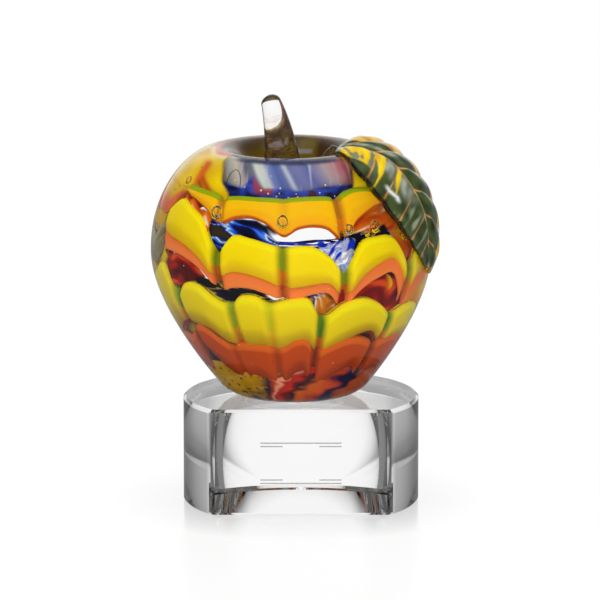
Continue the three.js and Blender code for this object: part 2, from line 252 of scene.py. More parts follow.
@lru_cache(None)
def linear(code, alpha=1.0):
    """A colour such as 'ffea00', as the linear values that a shader takes."""
    levels = [int(code[i:i + 2], 16) / 255 for i in (0, 2, 4)]
    return tuple(s / 12.92 if s <= 0.04045 else ((s + 0.055) / 1.055) ** 2.4 for s in levels) + (alpha,)


def shade(value):
    """A colour from its code or from a grey level. A colour stays as it is."""
    if isinstance(value, str):
        return linear(value)
    if isinstance(value, (int, float)):
        return (value, value, value, 1)
    return value


def blended(a, b, t):
    t = min(max(t, 0.0), 1.0)
    return tuple(mix(p, q, t) for p, q in zip(shade(a), shade(b)))


def graded(stops, t):
    """A colour read from a row of (place, colour) stops."""
    for (low, a), (high, b) in zip(stops, stops[1:]):
        if t <= high:
            return blended(a, b, (t - low) / (high - low))
    return shade(stops[-1][1])


class Finish:
    """A material, or a world, and short ways to add and join its nodes."""

    def __init__(self, name, owner=None):
        self.material = owner or bpy.data.materials.new(name)
        self.material.use_nodes = True
        self.nodes = self.material.node_tree.nodes
        self.links = self.material.node_tree.links
        self.nodes.clear()
        self.output = self.nodes.new("ShaderNodeOutputWorld" if owner else "ShaderNodeOutputMaterial")

    def add(self, kind, **values):
        """Adds a node. A name with a capital is an input, with underscores for its spaces."""
        node = self.nodes.new("ShaderNode" + kind)
        for key, value in values.items():
            if key[0].isupper():
                self.give(value, node.inputs[key.replace("_", " ")])
            else:
                setattr(node, key, value)
        return node

    def give(self, value, end):
        """Joins another node's output to a socket, or sets the socket's own value."""
        if hasattr(value, "links"):
            self.links.new(value, end)
        else:
            end.default_value = shade(value) if end.type == "RGBA" else value

    def shader(self, **values):
        return self.add("BsdfPrincipled", **values).outputs["BSDF"]

    def spot(self, kind="Object"):
        """X, Y and Z of a place on the piece, or of a direction in the world."""
        parts = self.add("SeparateXYZ", Vector=self.add("TexCoord").outputs[kind]).outputs
        return parts["X"], parts["Y"], parts["Z"]

    def noise(self, scale, stretch=(1, 1, 1), detail=3.0, distortion=0.0):
        place = self.add("Mapping", Vector=self.add("TexCoord").outputs["Object"], Scale=stretch)
        place = place.outputs["Vector"]
        node = self.add("TexNoise", Vector=place, Scale=scale, Detail=detail, Distortion=distortion)
        return node.outputs["Fac"]

    def ramp(self, value, stops):
        node = self.add("ValToRGB", Fac=value)
        elements = node.color_ramp.elements
        while len(elements) < len(stops):
            elements.new(0.5)
        for element, (place, colour) in zip(elements, stops):
            element.position = place
            element.color = shade(colour)
        return node.outputs["Color"]

    def math(self, operation, *values):
        node = self.add("Math", operation=operation)
        for socket, value in zip(node.inputs, values):
            self.give(value, socket)
        return node.outputs["Value"]

    def blend(self, share, a, b):
        node = self.add("Mix", data_type="RGBA")
        sockets = {s.identifier: s for s in node.inputs}
        for key, value in (("Factor_Float", share), ("A_Color", a), ("B_Color", b)):
            self.give(value, sockets[key])
        return [s for s in node.outputs if s.identifier == "Result_Color"][0]

    def either(self, share, first, second):
        """Two shaders, the second by the given share."""
        node = self.add("MixShader")
        for value, end in zip((share, first, second), node.inputs):
            self.give(value, end)
        return node.outputs["Shader"]

    def finish(self, shader):
        self.give(shader, self.output.inputs["Surface"])
        return self.material

    def let_through(self, share, shader):
        """Passes rays straight through by the given share."""
        return self.either(share, shader, self.add("BsdfTransparent").outputs["BSDF"])

    def glass(self, colour, ior):
        """Clear glass. Lamps reach what lies inside, because shadow rays pass straight through."""
        shader = self.shader(Base_Color=colour, Roughness=0.0, IOR=ior, Transmission_Weight=1.0)
        shadow = self.add("LightPath").outputs["Is Shadow Ray"]
        return self.finish(self.let_through(shadow, shader))


# The round wall's painted shade: grey levels by their distance from the middle, and the wall's top, in
# metres.
WALL_PAINTED_SHADE = [(0.0312, 0.99), (0.0326, 0.24), (0.038, 0.32), (0.0415, 0.25), (0.044, 0.17)]
WALL_TOP = 0.0385
# The heights between which the stem clears, in metres.
STEM_CLEARS = (0.141, 0.146)


def crystal_glass():
    """Clear crystal, with painted shade: greyer where the round wall turns away beside the flat front."""
    finish = Finish("crystal")
    x, _, z = finish.spot()
    painted_shade = finish.ramp(finish.math("ABSOLUTE", x), WALL_PAINTED_SHADE)
    on_wall = finish.math("LESS_THAN", z, WALL_TOP)
    return finish.glass(finish.blend(on_wall, WALL_PAINTED_SHADE[0][1], painted_shade), 1.52)


def stem_glass():
    """Clear at the tip, with smoky and amber cords drawn through the lower half."""
    finish = Finish("stem_glass")
    _, _, z = finish.spot()
    low = finish.ramp(z, [(STEM_CLEARS[0], 1.0), (STEM_CLEARS[1], 0.0)])
    cords = finish.noise(190, (1.0, 1.0, 1.6), detail=2, distortion=1.5)
    colours = finish.ramp(cords, [
        (0.36, "a89080"), (0.44, "ffdc98"), (0.5, "ffffff"), (0.58, "fff0e4"), (0.66, "c0b0a0"),
    ])
    return finish.glass(finish.blend(low, 1.0, colours), 1.5)


def ribbon_glass(name, top, body, low, fold_colour_and_shade_high, fold_colour_and_shade_low, left=None):
    """Opaque glass inside the clear: graded down the ribbon to a lower colour that is partly painted shade,
    with colours in the folds that are partly painted shade in the creases.

    The tile left of the first fold can have a pair of colours of its own. The attribute holds
    the place down the ribbon, how close a fold is, and the place round the apple.
    """
    finish = Finish(name)
    lay = finish.add("Attribute", attribute_name="lay").outputs["Color"]
    lay = finish.add("SeparateColor", Color=lay).outputs
    down, fold, turn = lay["Red"], lay["Green"], lay["Blue"]
    # Top edge, body and lower colour; the lower colour, mostly darker, is partly painted shade.
    graded_and_shaded_down = finish.ramp(down, [(0.0, top), (0.005, top), (0.05, body), (0.55, body), (1.0, low)])
    streaks = finish.noise(90, (0.7, 0.7, 9.0), detail=4)
    clouds = finish.noise(110, (1.0, 1.0, 1.6), detail=4, distortion=0.6)
    low_part = finish.math("MULTIPLY", finish.math("SMOOTH_MIN", down, 1.0, 0.1), 0.3)
    base = finish.blend(finish.math("MULTIPLY", streaks, low_part), graded_and_shaded_down, low)
    ragged = finish.math("ADD", down, finish.math("MULTIPLY", clouds, 0.3))
    # Fold colours, upper and lower, partly painted shade in the creases.
    fold_colour_and_shade = finish.blend(finish.math("GREATER_THAN", ragged, 0.62), fold_colour_and_shade_high, fold_colour_and_shade_low)
    near = finish.math("MULTIPLY", fold, finish.math("ADD", clouds, 0.75))
    colour = finish.blend(finish.math("MINIMUM", near, 1.0), base, fold_colour_and_shade)
    if left:
        other = finish.ramp(down, [(0.1, left[0]), (0.5, left[1])])
        colour = finish.blend(finish.math("GREATER_THAN", turn, 11 / 12), colour, other)
    return finish.finish(finish.shader(Base_Color=colour, Roughness=0.5, Specular_IOR_Level=0.05))


def painted(name, roughness=0.4, veil=False):
    """Glass coloured point by point. With a veil, its alpha lets light through."""
    finish = Finish(name)
    tint = finish.add("Attribute", attribute_name="tint")
    shader = finish.shader(
        Base_Color=tint.outputs["Color"], Roughness=roughness, Specular_IOR_Level=0.0,
    )
    if not veil:
        return finish.finish(shader)
    return finish.finish(finish.let_through(finish.math("SUBTRACT", 1.0, tint.outputs["Alpha"]), shader))


def clouded(name, colour, dark):
    """One colour of glass, clouded with a darker one."""
    finish = Finish(name)
    tone = finish.blend(finish.noise(120), colour, dark)
    return finish.finish(finish.shader(Base_Color=tone, Roughness=0.25))


CRYSTAL = crystal_glass()
GLASS = Finish("clear_glass").glass("ffffff", 1.5)
ADHESIVE = Finish("adhesive").glass("f8fafa", 1.48)
BUBBLE = Finish("bubble").glass("ffffff", 1 / 1.5)
# Pale gold specks: a painted highlight for the seed bubbles' bright glints.
SEED_GLINT = clouded("seed_bubble_glints", "fff4dc", "f0c890")
STALK = Finish("stalk_glass").glass("fff0b8", 1.5)
STEM = stem_glass()
GOLD = ribbon_glass("gold_glass", "98b000", "ffc400", "ffb010", "c88a20", "e08a10", ("dcb414", "e0703c"))
AMBER = ribbon_glass("amber_glass", "f08018", "f08a30", "d86010", "b85008", "b85008")
YELLOW = ribbon_glass(
    "yellow_glass", "fff000", "ffe600", "e4b400", "8a9a10", "c86a08", ("a8a078", "8c8c68"),
)
ORANGE = ribbon_glass(
    "orange_glass", "e86a18", "ff7c34", "ff8a44", "e07010", "d06a20", ("98906c", "8c8460"),
)
RED = ribbon_glass("red_glass", "a01408", "8a0e08", "7a0c06", "c04008", "c04008")
OLIVE = ribbon_glass("olive_glass", "f8ec00", "fae400", "b88c00", "6a9a18", "d88008")
RUST = ribbon_glass("rust_glass", "dc6410", "cc4a00", "a03400", "a04008", "903808")
WINE = ribbon_glass("wine_glass", "8c1a12", "701010", "601010", "301030", "301030")
BLUE = clouded("blue_glass", "1838d0", "0820a0")
NAVY = clouded("navy_glass", "202a50", "10142c")
FROST = clouded("frosted_glass", "b4b4b4", "b0b0b0")
PAINTED = painted("swirled_glass_and_painted_light")
VEILED = painted("veiled_glass", veil=True)
LEAF_CORE = painted("leaf_glass", roughness=0.3)


# Crystal base


BASE_CHAMFER = 1 * MM
STRIP_INSET = 1.1 * MM
STRIP_RUN = 0.8 * MM
WALL_STEPS = 220


def crystal_base():
    """A round block with a flat front, its corners cut to narrow strips, chamfered top and bottom."""
    radius = base_high[0]
    height = base_high[2] - base_low[2]
    front = base_low[1]
    corner = math.asin(-front / radius)
    shape = bmesh.new()
    half_front = radius * math.cos(corner) - STRIP_INSET
    start = -corner + STRIP_RUN / radius
    outline = [shape.verts.new((-half_front, front, 0)), shape.verts.new((half_front, front, 0))]
    for angle in span(start, math.pi - start, WALL_STEPS):
        outline.append(shape.verts.new((radius * math.cos(angle), radius * math.sin(angle), 0)))
    foot = shape.faces.new(outline)
    raised = bmesh.ops.extrude_face_region(shape, geom=[foot])
    top = [v for v in raised["geom"] if isinstance(v, bmesh.types.BMVert)]
    bmesh.ops.translate(shape, verts=top, vec=(0, 0, height))
    rims = [e for e in shape.edges if abs(e.verts[0].co.z - e.verts[1].co.z) < 1e-6]
    bmesh.ops.bevel(
        shape, geom=rims, offset=BASE_CHAMFER, offset_type="OFFSET", segments=1, profile=0.5,
        affect="EDGES", material=-1,
    )
    piece = new_piece("crystal_base", shape, CRYSTAL, flat=True)
    for face in piece.data.polygons:
        upright = abs(face.normal.z) < 0.3
        round_wall = math.hypot(face.center.x, face.center.y) > radius * 0.97
        face.use_smooth = upright and round_wall and face.center.y > front * 0.96
    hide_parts("base_block")


LINE_HALF = 15.1
LINE_BREAK = 6.8
LINE_THICK = 0.42
# A whole line and a broken one, above the flat's middle and below it.
LINE_HEIGHTS = ((27.5, 26.2), (12.2, 13.5))
LINE_DEPTHS = (0.02, 0.08)


def ruled_lines():
    """Fine frosted lines on the flat front, above and below its middle."""
    shape = bmesh.new()
    lines = []
    for whole, broken in LINE_HEIGHTS:
        lines.append((whole, -LINE_HALF, LINE_HALF))
        lines += [(broken, -LINE_HALF, -LINE_BREAK), (broken, LINE_BREAK, LINE_HALF)]
    for low, left, right in lines:
        made = bmesh.ops.create_cube(shape, size=1.0)
        for vert in made["verts"]:
            vert.co.x = mix(left, right, vert.co.x + 0.5) * MM
            vert.co.y = base_low[1] + mix(*LINE_DEPTHS, vert.co.y + 0.5) * MM
            vert.co.z = (low + LINE_THICK * vert.co.z) * MM
    new_piece("ruled_lines", shape, FROST, flat=True)


def bond_spot():
    """The clear adhesive between the apple's ground flat and the base."""
    shape = bmesh.new()
    radius = (bond_high[0] - bond_low[0]) / 2
    depth = bond_high[2] - bond_low[2]
    bmesh.ops.create_cone(
        shape, cap_ends=True, segments=96, radius1=radius, radius2=radius, depth=depth,
    )
    bmesh.ops.translate(shape, verts=shape.verts, vec=(APPLE_X, 0, bond_low[2] + depth / 2))
    piece = new_piece("bond_spot", shape, ADHESIVE)
    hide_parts("bond_disc")


# Apple body


def apple_body():
    """The apple's clear glass, from the hollow's floor over the shoulder to the ground flat."""
    section = [skin.at(d) for d in span(-HOLLOW_LENGTH, SKIN_END, 150)]
    section = [(0.0, HOLLOW_FLOOR)] + section + [(0.0, 0.0)]
    shape = spun(section, 192, closed=False)
    for vert in shape.verts:
        vert.co = set_down(seen_angle(vert.co), (math.hypot(vert.co.x, vert.co.y), vert.co.z))
    piece = new_piece("apple_glass", shape, GLASS)
    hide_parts("apple_casing", "apple_heart")


# Ribbons


FOLD_WIDTH = 3.1
FOLD_RADIUS = 48


class Tier:
    """A ribbon's folds in degrees, and its edges in millimetres along the skin.

    Each tile lies between two folds and has its top, its bottom and the lip's bottom at its
    first fold and at three places across it. The tiles out of sight share one shape.
    """

    PLACES = 4
    TILES = 12

    def __init__(self, folds, depths, tiles, other):
        hidden = self.TILES - len(tiles)
        self.folds = folds + span(folds[-1], folds[0] + 360, hidden)[1:]
        self.depths = depths + [4] * (self.TILES - len(depths))
        rows = tiles + [other] * hidden
        self.edges = [[value for row in rows for value in row[k]] for k in range(len(other))]

    def angle(self, turn):
        whole = min(int(turn), self.TILES - 1)
        return mix(self.folds[whole], self.folds[whole + 1], turn - whole)

    def edge(self, kind, turn):
        """One of the edges, as a smooth curve through its values."""
        values = self.edges[kind]
        place = turn * self.PLACES
        i = math.floor(place)
        t = place - i
        a, b, c, d = (values[(i + k) % len(values)] for k in (-1, 0, 1, 2))
        rise, fall = (c - a) / 2, (d - b) / 2
        bend = 3 * (c - b) - 2 * rise - fall
        return b + rise * t + bend * t * t + (rise + fall - 2 * (c - b)) * t ** 3

    def fold(self, turn):
        """How close a fold is, from 0 to 1, and how far it presses the ribbon in."""
        whole = min(int(turn), self.TILES - 1)
        near = min(turn - whole, whole + 1 - turn)
        off = near * math.radians(self.folds[whole + 1] - self.folds[whole]) * FOLD_RADIUS
        close = 1 - smooth(off / FOLD_WIDTH)
        return close, close * self.depths[(whole + (turn - whole > 0.5)) % self.TILES]


UPPER, LOWER, LIP = 0, 1, 2

TIER_1 = Tier([-66, -36, -3, 25.5, 57, 88], [2.8, 2.8, 1, 4, 3.6, 3.6], [
    ((18.6, 18.6, 18.9, 19.3), (22.5, 23.4, 24.8, 27.3)),
    ((20.2, 19.4, 19.3, 19.3), (31.5, 28.6, 27.8, 30)),
    ((19.3, 19, 18.8, 19), (35, 32, 31.2, 32.5)),
    ((19.4, 17.2, 16.8, 18.2), (37.5, 30.8, 27.5, 25.8)),
    ((20, 21, 21.5, 21.5), (27, 42, 46, 44)),
], ((22, 21.5, 21, 21.5), (34, 34, 33, 33)))

TIER_2 = Tier([-74, -34.5, -3.5, 24.5, 62, 92], [4, 4, 3.4, 4, 4, 4], [
    ((34, 25.2, 27.4, 31.8), (40, 41.3, 43, 47), (47.7, 47, 48.2, 51.8)),
    ((43, 36.2, 36.8, 38.4), (54, 51.2, 51.6, 53.8), (59.5, 58.3, 58.2, 60.4)),
    ((40, 39.6, 40, 44), (57, 56.8, 55.8, 55.7), (63, 62.2, 60.4, 60.5)),
    ((50, 39.6, 38.2, 39.8), (61.5, 53.3, 49.2, 48.9), (67, 59.5, 55.4, 55)),
    ((52, 46, 44, 44), (62, 58, 56, 54), (70, 66, 63, 60)),
], ((46, 43, 42, 43), (53, 51, 50, 51), (56, 54.5, 53.5, 54.5)))

TIER_3 = Tier([-95, -62, -29, -10.5, 14.5, 55], [3.6, 3.6, 2.6, 1.2, 3.8, 4], [
    ((66, 60, 56, 52.5), (84, 84, 82, 78), (86, 86, 84, 80)),
    ((64, 58.5, 58.6, 63.6), (75.5, 76.4, 78, 83), (77, 78, 80, 85)),
    ((65.5, 61.8, 61, 61.8), (84, 84.2, 84.4, 84), (86, 86, 86, 86)),
    ((64.5, 63, 62, 62.4), (86.5, 85.8, 83.5, 82.5), (88, 87.5, 85, 84)),
    ((71, 65.4, 63.4, 66.5), (88, 84.5, 80, 78.8), (90, 86.5, 82, 80.5)),
], ((72, 70, 69, 70), (86, 85, 84, 85), (88, 87, 86, 87)))

TIER_4 = Tier([-60, -35, -9.5, 13, 50], [3.4, 1, 1.6, 3.4, 3.6], [
    ((79, 76, 78, 82), (88.5, 92, 98, 101)),
    ((84, 83, 83, 83), (103, 101, 101, 106)),
    ((84, 83, 80, 80), (108, 102, 97.5, 97)),
    ((86, 83, 80.5, 81.5), (109, 104, 98.6, 95.8)),
], ((84, 83, 82, 83), (104, 100, 98, 100)))

# The first layer's depth under the skin, a layer's thickness, the depth that the tucked edge
# reaches, the radius of the rolled edge, its small round, and the curl at the lower edge.
COVER = 4.3
LAYER = 1.4
TUCK = 7.1
ROLL = 2.6
RIM = 0.3
CURL = 1.3
# How far the tiles draw together at their folds, and the section's size while it is spun.
GATHER = 0.72
SPUN_R = 100
SPUN_HIGH = 5


def rolled(past):
    """How far the upper edge rolls inwards, by the distance past it."""
    return ROLL - math.sqrt(max(ROLL ** 2 - max(ROLL - past, 0) ** 2, 0))


def ribbon(name, node, tier, order, layers, material, start=0.0, end=LOWER, grow=0.0):
    """One layer of a tier: a spun section whose points are then laid under the skin."""
    stack = layers * LAYER + (layers - 1) * GAP
    tuck = TUCK - stack - ROLL
    top = COVER + order * (LAYER + GAP)
    face = [(0, 0, tuck), (0, 0, tuck / 2)]
    face += [(0, past, 0) for past in (0, 0.12, 0.4, 0.9, 1.6)]
    face += [(q, ROLL, 0) for q in span(0, 1, 14)]
    outer = face[:-1] + [(1, ROLL - RIM, 0), (1, ROLL, RIM)]
    inner = face[:-1] + [(0.999, ROLL - RIM, 0), (1, ROLL, LAYER - RIM)]
    count = len(outer)
    section = [(SPUN_R + i, 0) for i in range(count)]
    section += [(SPUN_R + i, SPUN_HIGH) for i in reversed(range(count))]
    places = dict(zip(section, outer + inner[::-1]))
    shape = spun(section, 288)
    lay = shape.verts.layers.float_color.new("lay")
    for vert in shape.verts:
        key = (round(math.hypot(vert.co.x, vert.co.y)), round(vert.co.z))
        q, past, sink = places[key]
        turn = (seen_angle(vert.co) / TAU) % 1 * tier.TILES
        whole = math.floor(turn)
        t = turn - whole
        turn = whole + t - GATHER * math.sin(TAU * t) / TAU
        high = tier.edge(UPPER, turn) + start
        length = max(tier.edge(end, turn) + grow - high - ROLL, 0.3)
        distance = high + past + q * length
        close, pressed = tier.fold(turn)
        curl = CURL * smooth((q - 0.45) / 0.55) if q else 0.0
        if past < ROLL:
            sink += rolled(past)
        if key[1] and q < 1:
            sink += LAYER
        depth = top + sink + curl + pressed
        vert[lay] = (q, pressed / 4, turn / tier.TILES, 1.0)
        vert.co = inside(tier.angle(turn), distance, depth)
    piece = new_piece(name, shape, material)
    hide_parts(node)


# Swirls of colour


# The window's colours round the hollow, mostly painted reflection: lavender, grey and white streaks, with
# amber and rose at the ends.
WINDOW_REFLECTION_COLOURS = [
    (-75, "e8a020"), (-58, "d0b898"), (-47, "b4b4b0"), (-39, "d8d0c4"), (-34, "b8acb0"),
    (-30, "60647c"), (-23, "70748c"), (-20, "dce2e2"), (-15, "d0d8dc"), (-12, "7484cc"),
    (-7, "4c60b0"), (-3, "6470b0"), (0, "c0cce4"), (3, "6870b0"), (10, "7478b4"), (18, "5c64b0"),
    (25, "8c88b0"), (31, "b4a4b0"), (37, "c898a0"), (42, "c87888"), (48, "b04850"), (56, "c88020"),
    (75, "ffd000"),
]


def crown_colour(degrees, climb):
    """The glass round the hollow: lavender, grey and white in front, mostly painted reflection, over deep
    blue glass; rose at its ends; dark amber behind, painted shade of the gold, with a grey ring of painted
    reflection.
    """
    n = flow(degrees * 0.05, climb * 2.0, 1.0)
    fine = flow(degrees * 0.35, climb * 1.4, 5.0)
    specks = flow(degrees * 0.16, climb * 14.0, 9.0)
    off = (degrees + 180) % 360 - 180
    if abs(off) < 75:
        colour = graded(WINDOW_REFLECTION_COLOURS, off + 2 * n + 22 * (climb - 0.72))
        # Pale streaks of painted reflection.
        colour = blended(colour, "c4cce0", (fine - 0.35) * 1.2)
        edge = 0.52 + 0.16 * smooth((-18 - off) / 8) * smooth((off + 34) / 8) + 0.05 * n
        low = smooth((edge - climb) / 0.05 + 0.5)
        deep = blended("2450e0", "080c40", 0.4 + 1.1 * specks)
        red = smooth((off + 27) / 5) * smooth((-9 - off) / 5) * smooth((climb - 0.4) / 0.1)
        deep = blended(deep, "b03c58", 1.3 * red)
        wine = smooth((off - 2) / 5) * smooth((24 - off) / 5)
        deep = blended(deep, "5c1810", wine * smooth((0.5 - climb) / 0.05) * (0.6 + specks))
        colour = blended(colour, deep, low)
        rim = smooth((climb - 0.92) / 0.03) * smooth((50 - abs(off)) / 16)
        return blended(colour, blended("10184c", "283058", 0.5 + fine), rim)
    # Behind, painted shade: dark amber for the gold in shade.
    back = blended("7a5418", "382010", 0.5 + 0.7 * n)
    back = blended(back, "86700c", (flow(degrees * 0.04, climb, 20.0) - 0.1) * 1.4)
    # A grey ring of painted reflection on the hollow's back wall.
    ring = ((abs(off) - 180) / 25) ** 2 + ((climb - 0.76) / 0.05) ** 2
    return blended("a8a09c", back, (ring - 0.85) * 6)


CROWN_LOW = 67.0
CROWN_HIGH = 91.0
CROWN_WALL = [(27.0, CROWN_HIGH), (29.4, 79.6), (28.4, CROWN_LOW), (13, CROWN_LOW)]
CROWN_FLOOR = [(13, CROWN_LOW), (0.01, CROWN_LOW)]
CROWN_THICK = 0.9


def blue_crown():
    """The bowl under and round the hollow: swirled glass, with painted reflection and painted shade in its
    colours.
    """
    bowl = Outline([CROWN_WALL, CROWN_FLOOR])
    rows = span(0, bowl.distances[-1], 60)
    shape = spun([bowl.at(d) for d in rows] + [bowl.at(d, CROWN_THICK) for d in reversed(rows)], 300)
    tint = shape.verts.layers.float_color.new("tint")
    for vert in shape.verts:
        angle = seen_angle(vert.co)
        climb = (vert.co.z - CROWN_LOW) / (CROWN_HIGH - CROWN_LOW)
        vert[tint] = crown_colour(math.degrees(angle), climb)
        vert.co = set_down(angle, (math.hypot(vert.co.x, vert.co.y), vert.co.z))
    piece = new_piece("crown_swirl_and_painted_light", shape, PAINTED)
    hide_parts("blue_crown")


def stripe(off, wide):
    return math.exp(-((off / wide) ** 2))


def shoulder_colour(degrees, distance):
    """Golden glass over the shoulders, clear over the window, and dark amber round the back that is painted
    shade of the gold.
    """
    n = flow(degrees * 0.05, distance * 0.12, 2.0)
    gold = blended("fcdc00", "d8a800", 0.35 + 0.5 * n)
    gold = blended(gold, "c08400", smooth((distance - 16) / 8) * 0.6)
    colour = blended("f0e0a0", gold, smooth((distance - 2.6 + n) / 2))
    colour = blended("d87850", colour, smooth((distance - 0.8 + n) / 2))
    if degrees > -120:
        swirl = stripe(degrees + 64 - 0.5 * (distance - 12) + 2 * n, 5.5)
        swirl *= smooth((distance - 5) / 3) * smooth((21 - distance) / 4)
        colour = blended(colour, "e06a04", 1.2 * swirl)
        curl = stripe(distance - 17 - 0.4 * (degrees + 54), 1.5) * smooth((degrees + 64) / 5)
        colour = blended(colour, "c05408", 1.2 * curl)
        curl = stripe(distance - 19.2 - 0.4 * (degrees + 54), 0.6) * smooth((degrees + 64) / 5)
        colour = blended(colour, "7a3408", curl)
    colour = blended(colour, "e07848", smooth((-degrees - 96) / 5) * smooth((distance - 26) / 8))
    colour = blended(colour, "808060", smooth((-degrees - 104) / 7) * smooth((distance - 28) / 8))
    # Round the back, painted shade: the gold in shade, dark amber with salmon patches.
    dark = blended("7a5414", "604808", 0.5 + 0.6 * n)
    dark = blended(dark, "c06848", (flow(degrees * 0.03, distance * 0.1, 7.0) - 0.1) * 2)
    teal = stripe(distance - 1.5 - 0.06 * (degrees + 118), 0.7)
    behind = smooth((-degrees - 104) / 16) * smooth((degrees + 262) / 16)
    behind *= 1 - smooth((distance - 22) / 5) * smooth((degrees + 150) / 10)
    colour = blended(colour, dark, behind)
    teal *= smooth((-degrees - 92) / 10) * smooth((degrees + 150) / 10)
    colour = blended(colour, "507070", teal)
    veil = smooth((distance + 1.6) / 1.6)
    # The window's two ends, which draw together down the shoulder.
    end = 48 - 1.14 * (max(distance, 5) - 8)
    past = -degrees - end if degrees > -180 else degrees + 360 - end
    return colour[:3] + (veil * smooth((past + 2 * n) / 2.5),)


def shoulder_swirl():
    """A film of golden glass over the shoulders, which reaches lower at the left."""

    def spot(u, v):
        degrees = mix(-32, -328, u)
        low = 22 + 18 * smooth((-degrees - 68) / 10) * smooth((degrees + 150) / 20)
        return degrees, mix(-2, low, v)

    def place(u, v):
        degrees, distance = spot(u, v)
        return inside(degrees, distance, mix(1.6, 7.0, smooth(v * 1.6)))

    def colour(u, v):
        return shoulder_colour(*spot(u, v))

    new_piece("shoulder_swirl", sheet(280, 44, 0.8, place, colour), VEILED)


FOOT_COLOURS = [
    (-90, "cca008"), (-34, "bc8e04"), (-24, "a87804"), (-18, "14122c"), (-13, "b83c1c"),
    (-10, "f0a078"), (-7, "a82010"), (-2, "c0200c"), (2, "70100c"), (8, "10101c"), (14, "d05a14"),
    (24, "c8501c"), (32, "b02c20"), (38, "18123c"), (46, "141030"), (52, "b04a14"), (90, "8a3a0c"),
    (140, "a85a10"), (270, "b08a08"),
]
FOOT_HIGH, FOOT_LOW = 95, 116.5


def foot_colour(degrees, distance):
    """Marbled glass under the lowest ribbon: gold at the left, red and navy streams in front."""
    n = stir(degrees * 0.03, distance * 0.14, 3.0)
    stream = degrees + 14 * n + (distance - 104) * 1.2
    flecks = stir(degrees * 0.3, distance * 0.35, 12.0)
    if degrees < -20 and flecks > 0.42:
        return linear("141430")
    return graded(FOOT_COLOURS, stream)


def foot_swirl():
    """The marbled sheet under the lowest ribbon, all the way round."""

    def place(u, v):
        degrees = mix(-90, 270, u)
        sway = 1.2 * stir(degrees * 0.05, v, 4.0)
        return inside(degrees, mix(FOOT_HIGH, FOOT_LOW, v), mix(7.5, 3.2, v) + sway)

    def colour(u, v):
        return foot_colour(mix(-90, 270, u), mix(FOOT_HIGH, FOOT_LOW, v))

    new_piece("foot_swirl", sheet(300, 40, 0.7, place, colour), PAINTED)


def dark_swirls():
    """Streaks of coloured glass that show in the openings between the ribbons, with painted white
    highlights and glints among them.
    """

    def band(name, left, right, high, low, depth, colours, slant=0.0, steep=3.0, fade=0.16):
        def place(u, v):
            sway = flow(u * 3, v * 1.5, left * 0.1)
            return inside(mix(left, right, u), mix(high, low, v) + slant * u + sway, depth + sway)

        def colour(u, v):
            bent = 4.5 * v - steep * u + 0.9 * flow(u * 3, v * 2, 7.0)
            n = flow(u * 2.2, bent, right * 0.2) + 0.35 * flow(u * 7, bent * 2.4, left * 0.3)
            paint = graded(colours, 0.5 + 0.62 * n)
            rim = min(u, 1 - u, v, 1 - v) / fade
            return paint[:3] + (smooth((rim + 0.6 * flow(u * 6, bent, left)) * 1.5) * paint[3],)

        new_piece(name, sheet(130, 40, 0.5, place, colour), VEILED)

    # Painted highlights: the white stop in the navy row just below and in the glint row.
    navy_and_highlights = [(0, "06081c"), (0.3, "0c1450"), (0.46, "1c48e0"), (0.56, "4898f0"), (0.63, "e8f4fc"),
             (0.7, "1c3cb0"), (0.85, "101c48"), (1, "342c18")]
    ink = [(0, "04050c"), (0.5, "0a0c20"), (0.62, "182460"), (0.7, "d8a828"), (0.76, "14100c"),
           (1, "080808")]
    sky = [(0, "0a1aa0"), (0.34, "1440e0"), (0.46, linear("e8f0ff", 0.3)), (0.6, "3c70e8"),
           (0.72, linear("f4f8ff", 0.2)), (1, "1030c0")]
    ember = [(0, "480606"), (0.5, "800a08"), (0.75, "b01c0c"), (1, "e05018")]
    amber = [(0, "d86408"), (0.35, "f09400"), (0.6, "f8c000"), (1, "e8b000")]
    olive = [(0, "a88400"), (0.4, "f0d000"), (0.7, "e0c000"), (1, "60a018")]
    lining = [(0, "b83c08"), (0.45, "d86004"), (0.8, "e07810"), (1, "f4d8c0")]
    glint = [(0, "8c4c10"), (0.4, "e08818"), (0.55, "f0ece4"), (0.68, "2c60c8"), (0.8, "101830"),
             (1, "d08020")]
    band("left_backing", -132, -58, 36, 92, 11.0, olive)
    band("right_backing", 48, 132, 30, 92, 11.0, amber)
    band("left_lining", -64, -40, 23, 40, 7.4, lining, slant=5, steep=1, fade=0.1)
    band("upper_left_swirl", -50, -5, 26, 42, 9.0, navy_and_highlights, slant=4)
    band("upper_right_ember", 22, 70, 23, 37, 9.8, lining, steep=-2, fade=0.08)
    band("upper_right_swirl", 24, 54, 33, 46, 9.2, ink, steep=-3)
    band("blue_swirl", 13, 32, 38, 52, 8.6, sky, steep=-4)
    band("middle_left_swirl", -62, -3, 55, 65, 10.0, ink, slant=3, steep=4)
    band("middle_swirl", -4, 24, 56, 74, 10.4, glint, steep=1)
    band("lower_right_swirl", 18, 60, 90, 103, 10.5, ink, steep=-3)
    band("left_ember", -72, -42, 45, 62, 9.0, ember, slant=2, steep=1)
    band("right_ember", 22, 66, 50, 73, 10.0, ember, steep=1, fade=0.08)


THREADS = 4


